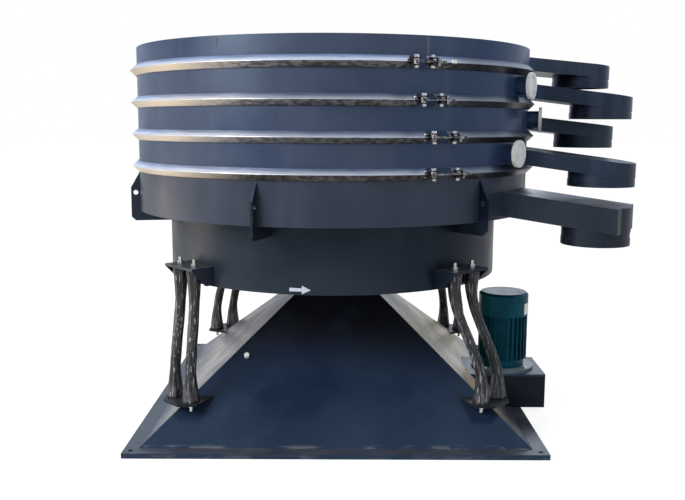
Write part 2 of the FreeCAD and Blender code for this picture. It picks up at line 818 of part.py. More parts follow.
def make_legs():
    """Each rubber leg is an S: its column ends above the foot, and its head leans one throw to the body."""
    columns = []
    for number, (foot, top) in enumerate(leg_places(), start=1):
        columns.append(leg_column(number, foot, top))
        keep(leg_head(number, top), f"leg_{number}")
    keep(group("leg_column_group", columns), "leg_columns")


def stud_with_nut(name, x, y, seat, direction):
    """A stud that stands out of a plate with a nut run down to the plate."""
    length = S["stud_length"]
    stud_start = seat if direction > 0 else seat - length
    nut_start = seat if direction > 0 else seat - S["stud_nut_height"]
    stud = hexagon(f"{name}_stud", S["stud_radius"], length, x, y, stud_start)
    nut = hexagon(f"{name}_nut", S["stud_nut_radius"], S["stud_nut_height"], x, y, nut_start)
    return fuse(name, [stud, nut])


def make_leg_fixings(envelope):
    """Corner plates on the pyramid under the legs, and the nuts at both ends of each leg."""
    seat = pyramid_half(foot_height)
    bottom = foot_height - S["foot_plate_thickness"]
    root, corner = seat - S["foot_plate_root"], S["foot_plate_corner"]
    spots = leg_places()
    edge = spots[5][0][1] + S["leg_foot_radius"] + S["foot_plate_margin"]
    outline = [(root + corner, root), (seat, root), (edge, seat - corner), (edge, seat + corner),
               (seat + corner, edge), (seat - corner, edge), (root, seat), (root, root + corner)]
    plates = []
    for number, (side_x, side_y) in enumerate(CORNERS, start=1):
        turned = [(across * side_x, up * side_y) for across, up in outline]
        slab = pad_up(f"foot_slab_{number}", turned, bottom, S["foot_plate_thickness"])
        plates.append(cut(f"foot_plate_{number}", slab, envelope))
    keep(group("foot_plate_group", plates), "leg_foot_plates")

    lower, upper = [], []
    for number, (foot, top) in enumerate(spots, start=1):
        lower.append(stud_with_nut(f"foot_fixing_{number}", foot[0], foot[1], bottom, -1))
        upper.append(stud_with_nut(f"head_fixing_{number}", top[0] - S["eccentric_throw"], top[1],
                                   bracket_height + S["bracket_thickness"], 1))
    keep(group("foot_nut_group", lower), "foot_nuts")
    keep(group("bracket_nut_group", upper), "bracket_nuts")


def make_brackets():
    """Four plates on the drum over the pairs of legs, each with two gussets under it."""
    drum = cylinder("drum_space", S["drum_radius"] + S["seam_gap"], pan_bottom)
    inside = S["drum_radius"] - S["bracket_root"]
    outer = S["drum_radius"] + S["bracket_reach"]
    brackets = []
    for number in range(4):
        angle = S["leg_twist"] + (45 + 90 * number)
        plate = box(f"bracket_plate_{number}", outer - inside, S["bracket_width"], S["bracket_thickness"])
        half = S["bracket_width"] / 2
        place(plate, inside * cosine(angle) + half * sine(angle), inside * sine(angle) - half * cosine(angle),
              bracket_height, angle)
        pieces = [plate]
        for side in (-1, 1):
            low = bracket_height - S["bracket_gusset_height"]
            gusset = pad_upright(f"bracket_gusset_{number}_{side + 1}",
                                 [(inside, low), (S["drum_radius"] + S["bracket_gusset_foot"], low),
                                  (outer, bracket_height), (inside, bracket_height)],
                                 S["bracket_gusset_thickness"])
            shift = (half - S["bracket_gusset_thickness"] / 2) * side
            place(gusset, -shift * sine(angle), shift * cosine(angle), 0, angle)
            pieces.append(gusset)
        brackets.append(cut(f"bracket_{number}", fuse(f"bracket_whole_{number}", pieces), drum))
    keep(group("bracket_group", brackets), "leg_brackets", on_body=True)


def make_drum():
    inner = S["drum_radius"] - S["drum_wall"]
    drum = revolve("drum_shell", [(inner, drum_bottom), (S["drum_radius"], drum_bottom),
                                  (S["drum_radius"], pan_bottom), (inner, pan_bottom)])
    keep(drum, "drum", on_body=True)

    bore = S["bearing_outer_radius"]
    outer = bore + S["hub_wall"]
    tube = revolve("hub_tube", [(bore, hub_bottom), (outer, hub_bottom), (outer, pan_bottom),
                                (bore, pan_bottom)])
    pieces = [tube]
    root, tip = outer - S["hub_rib_root"], inner - S["seam_gap"]
    rib_bottom = hub_bottom + S["hub_rib_rise"]
    for number in range(6):
        outline = [(root, rib_bottom), (tip, rib_bottom + S["hub_rib_slope"]), (tip, pan_bottom),
                   (root, pan_bottom)]
        rib = pad_upright(f"hub_rib_{number}", outline, S["hub_rib_thickness"])
        pieces.append(place(rib, 0, 0, 0, 60 * number))
    keep(fuse("hub_pieces", pieces), "journal_hub", on_body=True)

    inner_ring = S["journal_radius"] + S["running_clearance"]
    ring_top = pan_bottom - S["journal_top_gap"] - S["bearing_seat_depth"]
    ring_bottom = hub_bottom + S["bearing_seat_depth"]
    ring = revolve("journal_ring", [(inner_ring, ring_bottom), (bore - S["seam_gap"], ring_bottom),
                                    (bore - S["seam_gap"], ring_top), (inner_ring, ring_top)])
    keep(ring, "journal_bearing", on_body=True)


def make_lifting_plates():
    """Six plates that brace the pan on the drum, each with a lifting hole."""
    drum_side = S["drum_radius"] + S["seam_gap"]
    pan_side = S["body_radius"] + S["seam_gap"]
    pan_under = pan_bottom - S["seam_gap"]
    low = pan_bottom - S["gusset_drop"]
    outer = S["body_radius"] + S["gusset_reach"]
    outline = [(drum_side, low), (outer - S["gusset_chamfer"], low), (outer, low + S["gusset_chamfer"]),
               (outer, pan_bottom + S["gusset_shoulder_rise"]), (pan_side, pan_bottom + S["gusset_top_rise"]),
               (pan_side, pan_under), (drum_side, pan_under)]
    plates = []
    for number in range(6):
        plate = pad_upright(f"lifting_slab_{number}", outline, S["gusset_thickness"])
        hole = cylinder(f"lifting_hole_{number}", S["lifting_hole_radius"], S["gusset_thickness"] * 3)
        centre = S["body_radius"] + S["gusset_reach"] / 2
        spot = [centre, S["gusset_thickness"] * 1.5, pan_bottom + S["lifting_hole_rise"]]
        spot = "; ".join(size.formula for size in spot)
        hole.setExpression("Placement", f"placement(vector({spot}); rotation(vector(1; 0; 0); 90))")
        plates.append(place(cut(f"lifting_plate_{number}", plate, hole), 0, 0, 0,
                            S["gusset_first_angle"] + 60 * number))
    keep(group("lifting_plate_group", plates), "lifting_plates", on_body=True)


def stadium(name, radius, distance, bottom, height, angle, overrun=None):
    """A channel seen from above: straight sides from the body's wall to a round end, or a square one."""
    start = S["body_radius"] / 2
    length = distance - start if overrun is None else distance + overrun - start
    straight = box(f"{name}_straight", length, radius * 2, height)
    x, y = start * cosine(angle) + radius * sine(angle), start * sine(angle) - radius * cosine(angle)
    place(straight, x, y, bottom, angle)
    end = cylinder(f"{name}_end", radius, height, distance * cosine(angle), distance * sine(angle), bottom)
    return fuse(f"{name}_plan", [straight, end])


def sloped_slab(name, top, height, slope, width, angle):
    """A slab that falls outwards, its top at a height at the body's wall, to trim a channel."""
    start, reach = S["body_radius"] / 2, S["body_radius"]
    rise = (S["body_radius"] - start) * tangent(slope)
    fall = reach * tangent(slope)
    corners = [(start, top + rise - height), (start + reach * 2, top + rise - height - fall * 2),
               (start + reach * 2, top + rise - fall * 2), (start, top + rise)]
    return place(pad_upright(name, corners, width), 0, 0, 0, angle)


def channel(name, radius, number, top, height, overrun=None):
    angle, reach, slope = (S[f"outlet_{number}_{word}"] for word in ("angle", "reach", "slope"))
    distance = S["body_radius"] + reach
    room = S["body_radius"] * 0.3
    plan = stadium(name, radius, distance, top - height - room, height + room * 2, angle, overrun)
    return overlap(f"{name}_duct", plan, sloped_slab(f"{name}_slab", top, height, slope, radius * 3, angle))


def outlet(number, root_top, height, collar, overrun=None):
    """The outer form of an outlet and its hollow."""
    angle, reach, slope = (S[f"outlet_{number}_{word}"] for word in ("angle", "reach", "slope"))
    distance = S["body_radius"] + reach
    x, y = distance * cosine(angle), distance * sine(angle)
    wall = S["outlet_wall"]
    fall = reach * tangent(slope)
    duct_top = root_top - fall
    spout_bottom = duct_top - height - collar
    spout_height = collar + height / 2
    hollow_end = None if overrun is None else overrun - wall
    duct = channel(f"outlet_{number}", S["spout_radius"], number, root_top, height, overrun)
    neck_radius = S["spout_radius"] - S["spout_step"]
    neck = cylinder(f"outlet_{number}_neck", neck_radius, spout_height, x, y, spout_bottom)
    band = cylinder(f"outlet_{number}_band", neck_radius + S["spout_band_thickness"], S["spout_band_height"],
                    x, y, spout_bottom)
    low = root_top - S["pan_height"]
    core = cylinder(f"outlet_{number}_core", body_bore, S["pan_height"] * 2, 0, 0, low)
    outer = cut(f"outlet_{number}_shell", fuse(f"outlet_{number}_whole", [duct, neck, band]), core)
    inner_duct = channel(f"outlet_{number}_inner", S["spout_radius"] - wall, number, root_top - wall,
                         height - wall * 2, hollow_end)
    inner_spout = cylinder(f"outlet_{number}_bore", neck_radius - wall, spout_height, x, y,
                           spout_bottom - wall)
    limit = cylinder(f"outlet_{number}_limit", body_bore - S["body_wall"], S["pan_height"] * 2, 0, 0, low)
    hollow = cut(f"outlet_{number}_hollow", fuse(f"outlet_{number}_spaces", [inner_duct, inner_spout]), limit)
    return outer, hollow


def port(number):
    """A short round port half way up a deck frame: its stub, its hole and its cap with a sunk face."""
    angle, height = S[f"port_{number}_angle"], (joints[number - 1] + joints[number]) / 2

    def outwards(piece, start):
        return place(piece, start * cosine(angle), start * sine(angle), height, angle, 90)

    root = S["body_radius"] - S["body_wall"] / 2
    end = S["body_radius"] + S["port_reach"]
    inside = body_bore - S["body_wall"] * 2
    stub = outwards(cylinder(f"port_{number}_stub", S["port_radius"], end - root), root)
    hole_radius = S["port_radius"] - S["port_wall"]
    hole = outwards(cylinder(f"port_{number}_hole", hole_radius, (end - inside) * 2), inside)
    radius, thickness, sunk = S["cap_radius"], S["cap_thickness"], S["cap_thickness"] - S["cap_recess"]
    inner = radius - S["cap_rim"]
    cap = revolve(f"port_{number}_cap", [(0, 0), (radius, 0), (radius, thickness), (inner, thickness),
                                         (inner, sunk), (0, sunk)])
    return stub, hole, outwards(cap, end)


def flange_below(joint):
    """Corners of a frame's upper flange, from the wall up to the sieve and in to the bore."""
    top = joint - half_sieve
    return [(S["body_radius"], top - S["flange_slope_height"]), (flange_radius, top), (body_bore, top)]


def flange_above(joint):
    bottom = joint + half_sieve
    return [(body_bore, bottom), (flange_radius, bottom),
            (S["body_radius"], bottom + S["flange_slope_height"])]


def make_body_frames():
    """The pan, three deck frames and the hood, each with its outlet."""
    floor_top = pan_bottom + S["pan_floor"]
    pan_outline = [(0, pan_bottom), (S["body_radius"], pan_bottom)] + flange_below(joints[3])
    pan = revolve("pan_shell", pan_outline + [(body_bore, floor_top), (0, floor_top)])
    hood_bore = hood_top - S["hood_top_thickness"]
    inlet_bore = S["inlet_radius"] - S["inlet_wall"]
    inlet_top = hood_top + S["inlet_height"]
    hood = revolve("hood_shell", flange_above(joints[0]) + [
        (S["body_radius"], hood_top), (S["inlet_radius"], hood_top), (S["inlet_radius"], inlet_top),
        (inlet_bore, inlet_top), (inlet_bore, hood_bore), (body_bore, hood_bore)])
    decks = [revolve(f"deck_shell_{number}", flange_above(joints[number]) + flange_below(joints[number - 1]))
             for number in (1, 2, 3)]
    caps = []
    names = ["hood", "deck_frame_1", "deck_frame_2", "deck_frame_3", "bottom_pan"]
    for number, (name, shell) in enumerate(zip(names, [hood] + decks + [pan]), start=1):
        if number < 5:
            root_top = joints[number - 1] + S["clamp_half_height"] + S["duct_seat"] + S["duct_height"]
            outer, hollow = outlet(number, root_top, S["duct_height"], S["spout_collar"])
        else:
            root_top = pan_bottom + S["pan_duct_rise"] + S["pan_duct_height"]
            outer, hollow = outlet(number, root_top, S["pan_duct_height"], S["pan_spout_collar"],
                                   S["pan_duct_overrun"])
        solids, spaces = [shell, outer], [hollow]
        if 1 < number < 5:
            stub, hole, cap = port(number - 1)
            solids.append(stub)
            spaces.append(hole)
            caps.append(cap)
        whole = fuse(f"{name}_whole", solids)
        keep(cut(f"{name}_cut", whole, group(f"{name}_spaces", spaces)), name, on_body=True)
    keep(group("port_cap_group", caps), "port_caps", on_body=True)


def make_sieves():
    """A sieve in each joint and, under it, the crossed bars that carry its mesh."""
    for number, joint in enumerate(joints, start=1):
        sieve = cylinder(f"sieve_disc_{number}", flange_radius - S["sieve_inset"],
                         S["sieve_thickness"] - S["seam_gap"], 0, 0, joint - half_sieve + S["seam_gap"] / 2)
        keep(group(f"sieve_plate_{number}", [sieve]), f"sieve_{number}", on_body=True)
        bars = []
        for turn in range(int(S["support_bar_count"].value)):
            length = (body_bore - S["seam_gap"]) * 2
            bar = box(f"support_{number}_bar_{turn}", length, S["support_bar_width"],
                      S["support_bar_depth"])
            angle = 180 / S["support_bar_count"] * turn
            half, side = length / 2, S["support_bar_width"] / 2
            low = joint - half_sieve - S["support_bar_depth"] - S["seam_gap"]
            place(bar, side * sine(angle) - half * cosine(angle), -half * sine(angle) - side * cosine(angle),
                  low, angle)
            bars.append(bar)
        keep(trim_bars(number, bars, joint), f"sieve_support_{number}", on_body=True)


def trim_bars(number, bars, joint):
    """Round the bars' ends to the frame's bore."""
    room = cylinder(f"support_room_{number}", body_bore - S["seam_gap"], S["support_bar_depth"] * 3, 0, 0,
                    joint - S["support_bar_depth"] * 2)
    return overlap(f"support_trim_{number}", fuse(f"support_bars_{number}", bars), room)


def arc_angle(length):
    """The angle that a short length takes on the pins' circle."""
    return length / pin_circle * (180 / math.pi)


def lug(name, angle, back, ahead, low):
    """One plate of a clamp ring's fork, from so far before the pin to so far past it."""
    inner = flange_radius - S["lug_inner"] + S["clamp_band"]
    outer = pin_circle + S["lug_overhang"]
    plate = box(name, outer - inner, back + ahead, S["lug_thickness"])
    x, y = inner * cosine(angle) + back * sine(angle), inner * sine(angle) - back * cosine(angle)
    return place(plate, x, y, low, angle)


def make_clamps():
    """V-section bands that pull each pair of flanges together, with forks at their ends for the bolt."""
    seat = S["clamp_seat_gap"]
    slope = S["flange_reach"] / S["flange_slope_height"]
    tip_inner = flange_radius + half_sieve * slope + seat
    edge_inner = tip_inner - S["clamp_half_height"] * slope
    pins = []
    for number, joint in enumerate(joints, start=1):
        pin_angle, fork_angle = S[f"pin_{number}_angle"], S[f"fork_{number}_angle"]
        top, bottom = joint + S["clamp_half_height"], joint - S["clamp_half_height"]
        eye_end, fork_end = arc_angle(S["eye_radius"] + S["eye_room"]), arc_angle(S["lug_overhang"] / 2)
        sweep = 360 - (fork_angle - pin_angle) - eye_end + fork_end
        band = revolve(f"clamp_band_{number}", [
            (edge_inner, bottom), (edge_inner + S["clamp_band"], bottom),
            (tip_inner + S["clamp_band"], joint),
            (edge_inner + S["clamp_band"], top), (edge_inner, top), (tip_inner, joint)], sweep)
        place(band, 0, 0, 0, fork_angle - fork_end)
        pieces = [band]
        for word, angle, back, ahead in (("eye", pin_angle, S["lug_length"], S["lug_overhang"]),
                                         ("fork", fork_angle, S["lug_overhang"], S["fork_length"])):
            pieces.append(lug(f"{word}_lug_{number}_high", angle, back, ahead, joint + S["lug_inner"]))
            pieces.append(lug(f"{word}_lug_{number}_low", angle, back, ahead,
                              joint - S["lug_inner"] - S["lug_thickness"]))
        keep(fuse(f"clamp_whole_{number}", pieces), f"clamp_ring_{number}", on_body=True)
        pins += pin_set(number, pin_angle, fork_angle, joint)
        make_clamp_bolt(number, pin_angle, fork_angle, joint)
    keep(group("clamp_pin_group", pins), "clamp_pins", on_body=True)


def pin_set(number, pin_angle, fork_angle, joint):
    """The pin between the lugs for the bolt's eye, and the nuts on the lugs of both forks."""
    high, low = joint + S["lug_inner"], joint - S["lug_inner"]
    pieces = [cylinder(f"eye_pin_{number}", S["pin_radius"], high - low, pin_circle * cosine(pin_angle),
                       pin_circle * sine(pin_angle), low)]
    for word, angle in (("eye", pin_angle), ("fork", fork_angle)):
        x, y = pin_circle * cosine(angle), pin_circle * sine(angle)
        pieces.append(hexagon(f"{word}_nut_{number}_high", S["pin_nut_radius"], S["pin_nut_height"], x, y,
                              high + S["lug_thickness"]))
        pieces.append(hexagon(f"{word}_nut_{number}_low", S["pin_nut_radius"], S["pin_nut_height"], x, y,
                              low - S["lug_thickness"] - S["pin_nut_height"]))
    return pieces


def make_clamp_bolt(number, pin_angle, fork_angle, joint):
    """An eye bolt on the pin: its shank lies in the open fork, and its block and nut bear on the fork."""
    half_gap = (fork_angle - pin_angle) / 2
    span = pin_circle * sine(half_gap) * 2
    heading = pin_angle + half_gap + 90
    eye = cylinder(f"bolt_{number}_eye", S["eye_radius"], S["eye_height"], 0, 0, -S["eye_height"] / 2)
    block_start = span + S["fork_length"] + S["bolt_slack"]
    length = block_start + S["bolt_block_length"] + S["bolt_tail"]
    shank = cylinder(f"bolt_{number}_shank", S["bolt_radius"], length, 0, 0, 0, 0, 90)
    tall = S["lug_inner"] + S["lug_thickness"]
    block = box(f"bolt_{number}_block", S["bolt_block_length"], S["bolt_block_width"], tall * 2,
                block_start, -S["bolt_block_width"] / 2, -tall)
    nut = hexagon(f"bolt_{number}_nut", S["bolt_nut_radius"], S["bolt_nut_height"],
                  block_start + S["bolt_block_length"], 0, 0, 0, 90)
    bore_radius = S["pin_radius"] + S["running_clearance"]
    bore = cylinder(f"bolt_{number}_bore", bore_radius, S["eye_height"] * 3, 0, 0, -S["eye_height"] * 1.5)
    bolt = cut(f"bolt_{number}_cut", fuse(f"bolt_{number}_whole", [eye, shank, block, nut]), bore)
    keep(bolt, f"clamp_bolt_{number}")
    x = pin_circle * cosine(pin_angle) - S["eccentric_throw"]
    place(bolt, x, pin_circle * sine(pin_angle), joint, heading)


def check_and_export():
    doc.recompute()
    for thing in doc.Objects:
        if "Invalid" in thing.State or "Error" in thing.State:
            raise ValueError(f"{thing.Label} failed: {thing.State}")
    for node in nodes:
        shape = node.Shape
        if shape.isNull() or not shape.isValid() or not shape.Solids:
            raise ValueError(f"{node.Label} has no sound shape")
    os.makedirs("parts", exist_ok=True)
    for node in nodes:
        node.Shape.exportStep(os.path.join("parts", f"{node.Label}.step"))
        print(f"{node.Label}: {len(node.Shape.Solids)} solid(s), {node.Shape.Volume / 1e6:.3f} litres")


make_base_plate()
pyramid_envelope = make_pyramid()
make_belt_box(pyramid_envelope)
make_main_bearing()
make_shaft()
make_belt()
make_motor()
make_rotor()
make_legs()
make_leg_fixings(pyramid_envelope)
make_brackets()
make_drum()
make_lifting_plates()
make_body_frames()
make_sieves()
make_clamps()
check_and_export()
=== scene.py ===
import json
import math

import bmesh
import bpy
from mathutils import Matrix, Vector


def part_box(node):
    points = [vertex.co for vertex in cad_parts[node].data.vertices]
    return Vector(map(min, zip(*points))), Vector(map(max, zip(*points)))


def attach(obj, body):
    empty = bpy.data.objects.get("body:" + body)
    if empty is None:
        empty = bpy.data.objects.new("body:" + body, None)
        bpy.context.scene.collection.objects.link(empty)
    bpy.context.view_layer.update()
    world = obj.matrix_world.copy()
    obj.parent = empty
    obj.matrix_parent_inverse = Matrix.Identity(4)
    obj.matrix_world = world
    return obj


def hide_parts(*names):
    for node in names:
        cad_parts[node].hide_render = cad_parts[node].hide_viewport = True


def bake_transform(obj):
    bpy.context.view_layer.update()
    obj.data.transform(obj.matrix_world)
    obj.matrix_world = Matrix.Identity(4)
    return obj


# Looks of the swing screen. Metres, +Z up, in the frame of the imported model.
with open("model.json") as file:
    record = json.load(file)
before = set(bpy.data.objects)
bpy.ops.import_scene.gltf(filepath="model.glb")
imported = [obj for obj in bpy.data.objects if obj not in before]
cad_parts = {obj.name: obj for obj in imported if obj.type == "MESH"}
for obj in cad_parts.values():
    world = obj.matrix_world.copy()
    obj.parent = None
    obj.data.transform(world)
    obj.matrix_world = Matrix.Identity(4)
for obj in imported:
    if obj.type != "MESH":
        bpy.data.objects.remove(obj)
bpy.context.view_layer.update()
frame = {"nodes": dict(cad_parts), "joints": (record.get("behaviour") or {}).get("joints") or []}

# Places and sizes that the solids don't give. At rest the body's axis is a throw from the base's.
BODY_AXIS = Vector((-0.025, 0.0, 0.0))
HOOD_RADIUS = 1.0
LEG_COUNT, SIEVE_COUNT = 8, 4

# A leg's foot is near the base's middle along one axis and far from it along the other.
FOOT_NEAR, FOOT_FAR, FOOT_HEIGHT = 0.670, 0.757, 0.200
LEG_RADIUS, FOOT_RADIUS, HEAD_RADIUS = 0.0250, 0.043, 0.038
FOOT_FLARE_HEIGHT, HEAD_FLARE_HEIGHT = 0.140, 0.150
FOOT_FLARE_POWER, HEAD_FLARE_POWER = 1.25, 1.2
STRAIGHT_AT_FOOT, STRAIGHT_AT_HEAD = 0.070, 0.075
LEG_SIDES, LEG_STEPS = 40, 72

# The film's folds twist as they run up the leg, in radians per metre, and its creases twist more.
FOLD_TWIST, FOLD_SHIFT, CREASE_TWIST = 9, 1.7, 46
FOLD_DEPTH, FLARED_FOLD_DEPTH, CREASE_DEPTH, FLARE_INSET = 0.0006, 0.0022, 0.0004, 0.0024

# The painted arrow's middle on the drum, half its length, and its outline in such halves.
ARROW_X, ARROW_Z, ARROW_HALF = -0.161, 0.741, 0.048
ARROW_OUTLINE = [(-1.0, -0.17), (-0.94, 0.0), (-1.0, 0.17), (0.18, 0.15), (0.16, 0.40), (1.0, 0.0),
                 (0.16, -0.40), (0.18, -0.15)]
STENCIL_THICKNESS = 0.0006
PLATE_THICKNESS, CLIP_THICKNESS = 0.0010, 0.0050
PLATE_STEPS = 12

# Distances from the body's axis over which the painted highlight on the clamp rings' tips, their
# lugs and the ducts set in.
RING_TIP = (1.012, 1.024)
RING_LUGS = (1.0345, 1.0365)
DUCTS = (1.050, 1.090)

# The product of the rounded and the true normal, on the flat and at an edge.
FLAT_MATCH, EDGE_MATCH = 0.995, 0.90
BEVEL_SAMPLES = 4

# Linear colours of dirt and wear, some carrying painted light as noted, and the tints of the
# reflections.
SETTLED_DUST = (0.155, 0.145, 0.130)
PLATE_DUST = (0.230, 0.215, 0.190)
# The flange's pale top: dust with a painted sky reflection.
FLANGE_DUST_AND_SHEEN = (0.380, 0.400, 0.410)
# Dust on the pyramid's slopes, with painted sunlight on the +X slope and painted shade on the -X
# slope.
SUNLIT_RIGHT_SLOPE_DUST = (0.880, 0.760, 0.540)
SHADED_LEFT_SLOPE_DUST = (0.180, 0.160, 0.140)
# Painted shade on the pyramid's top under the drum.
SHADED_PYRAMID_TOP = (0.0150, 0.0135, 0.0150)
RUBBED_PAINT = (0.115, 0.120, 0.125)
PALE_SPECKS = (0.105, 0.105, 0.100)
SCRAPED_STEEL = (0.200, 0.205, 0.210)
BLUE_SHEEN = (0.62, 0.80, 1.0, 1.0)
TEAL_SHEEN = (0.25, 0.75, 1.0, 1.0)

# Name, place, size, watts and tint of each lamp.
LAMPS = [("key", (-4.2, -3.4, 3.6), 2.6, 300, (1, 1, 1)),
         ("fill", (4.2, -3.4, 2.6), 3.0, 20, (0.8, 0.9, 1)),
         ("rim", (0.6, 4.6, 3.8), 3.5, 110, (1, 1, 1)),
         ("bounce", (-3.8, 0.1, 0.20), 2.0, 26, (1, 0.82, 0.64))]
LAMP_TARGET = Vector((0, 0, 0.9))
FLOOR_SIZE = 120
FLOOR_GLOW, FLOOR_GLOW_SHARE = 1.23, 0.70

# The photograph's camera: place, degrees down from level, degrees of roll, lens and shift.
CAMERA_PLACE = (0.028, -4.543, 1.471)
CAMERA_DOWN, CAMERA_ROLL = 8.45, -0.25
CAMERA_LENS, CAMERA_SHIFT = 44.8, -0.0014


def new_material(name):
    """A material, its node tree and its main shader."""
    made = bpy.data.materials.new(name)
    made.use_nodes = True
    shader = made.node_tree.nodes["Principled BSDF"]
    return made, made.node_tree, shader


def node(tree, kind, settings=None, **inputs):
    """A node with its settings, and values or links for its inputs, by name or as i0, i1, ..."""
    made = tree.nodes.new(kind)
    for name, value in (settings or {}).items():
        setattr(made, name, value)
    for name, value in inputs.items():
        by_index = name[0] == "i" and name[1:].isdigit()
        socket = made.inputs[int(name[1:])] if by_index else made.inputs[name]
        if isinstance(value, bpy.types.NodeSocket):
            tree.links.new(value, socket)
        else:
            socket.default_value = value
    return made


def noise(tree, scale, detail, stretch=(1, 1, 1)):
    """Noise at the surface's place at rest, drawn out along an axis where stretch is small."""
    place = node(tree, "ShaderNodeTexCoord")
    mapped = node(tree, "ShaderNodeMapping", Vector=place.outputs["Object"], Scale=stretch)
    made = node(tree, "ShaderNodeTexNoise", Vector=mapped.outputs[0], Scale=scale, Detail=detail)
    return made.outputs["Fac"]


def ramp(tree, value, low, high, start=0.0, end=1.0):
    """The value from low to high, mapped smoothly to start to end."""
    made = node(tree, "ShaderNodeMapRange", {"interpolation_type": "SMOOTHSTEP"}, Value=value)
    for name, size in (("From Min", low), ("From Max", high), ("To Min", start), ("To Max", end)):
        made.inputs[name].default_value = size
    return made.outputs["Result"]


def patches(tree, scale, detail, low, high, start=0.0, end=1.0, stretch=(1, 1, 1)):
    """Noise whose values from low to high are mapped smoothly to start to end."""
    return ramp(tree, noise(tree, scale, detail, stretch), low, high, start, end)


def blend_colours(tree, share, first, second):
    """The first colour where share is zero, the second where it is one."""
    made = node(tree, "ShaderNodeMix", {"data_type": "RGBA"})
    for index, value in ((0, share), (6, first), (7, second)):
        if isinstance(value, bpy.types.NodeSocket):
            tree.links.new(value, made.inputs[index])
        else:
            made.inputs[index].default_value = value if index == 0 else (*value, 1.0)
    return made.outputs[2]


def scaled(colour, factor):
    return tuple(part * factor for part in colour)


def multiply(tree, first, second):
    made = node(tree, "ShaderNodeMath", {"operation": "MULTIPLY"}, i0=first, i1=second)
    return made.outputs[0]


def add_bump(tree, shader, height, strength, distance):
    bump = node(tree, "ShaderNodeBump", Height=height, Strength=strength, Distance=distance)
    tree.links.new(bump.outputs[0], shader.inputs["Normal"])


def place_along(tree, axis):
    """The surface's place at rest along X, Y or Z."""
    place = node(tree, "ShaderNodeTexCoord")
    return node(tree, "ShaderNodeSeparateXYZ", Vector=place.outputs["Object"]).outputs[axis]


def facing(tree, axis):
    """How far the surface faces along X, Y or Z, from -1 to 1."""
    shape = node(tree, "ShaderNodeNewGeometry")
    return node(tree, "ShaderNodeSeparateXYZ", Vector=shape.outputs["Normal"]).outputs[axis]


def edge_mask(tree, radius):
    """Near one on edges and corners, zero on flat stretches."""
    rounded = node(tree, "ShaderNodeBevel", {"samples": BEVEL_SAMPLES}, Radius=radius)
    shape = node(tree, "ShaderNodeNewGeometry")
    match = node(tree, "ShaderNodeVectorMath", {"operation": "DOT_PRODUCT"}, i0=rounded.outputs[0],
                 i1=shape.outputs["Normal"])
    return ramp(tree, match.outputs["Value"], FLAT_MATCH, EDGE_MATCH)


def away_from_body_axis(tree, near, far):
    """Zero up to one distance from the body's upright axis, one beyond another."""
    place = node(tree, "ShaderNodeTexCoord")
    flat = node(tree, "ShaderNodeVectorMath", {"operation": "MULTIPLY"},
                i0=place.outputs["Object"], i1=(1, 1, 0))
    distance = node(tree, "ShaderNodeVectorMath", {"operation": "DISTANCE"},
                    i0=flat.outputs[0], i1=tuple(BODY_AXIS))
    return ramp(tree, distance.outputs["Value"], near, far)


def dust_and_light_on_slopes(tree, colour):
    """The pyramid's paint with painted shade on its top under the drum, and dust streaks on its
    side slopes that carry painted sunlight at +X and painted shade at -X.
    """
    # Painted shade on the pyramid's top, under the drum.
    shade_under_drum = ramp(tree, place_along(tree, "Z"), 0.26, 0.50, 0.0, 0.80)
    colour = blend_colours(tree, shade_under_drum, colour, SHADED_PYRAMID_TOP)
    streaks = patches(tree, 5.0, 6.0, 0.36, 0.60, 0.55, 0.95, (0.5, 0.5, 1.4))
    above_foot = ramp(tree, place_along(tree, "Z"), 0.04, 0.24, 0.04, 1.0)
    streaks = multiply(tree, streaks, above_foot)
    # Painted sunlight on the +X slope and painted shade on the -X slope, laid in the dust streaks.
    for low, high, dust in ((0.35, 0.60, SUNLIT_RIGHT_SLOPE_DUST), (-0.35, -0.60, SHADED_LEFT_SLOPE_DUST)):
        slope = multiply(tree, ramp(tree, facing(tree, "X"), low, high), streaks)
        colour = blend_colours(tree, slope, colour, dust)
    return colour


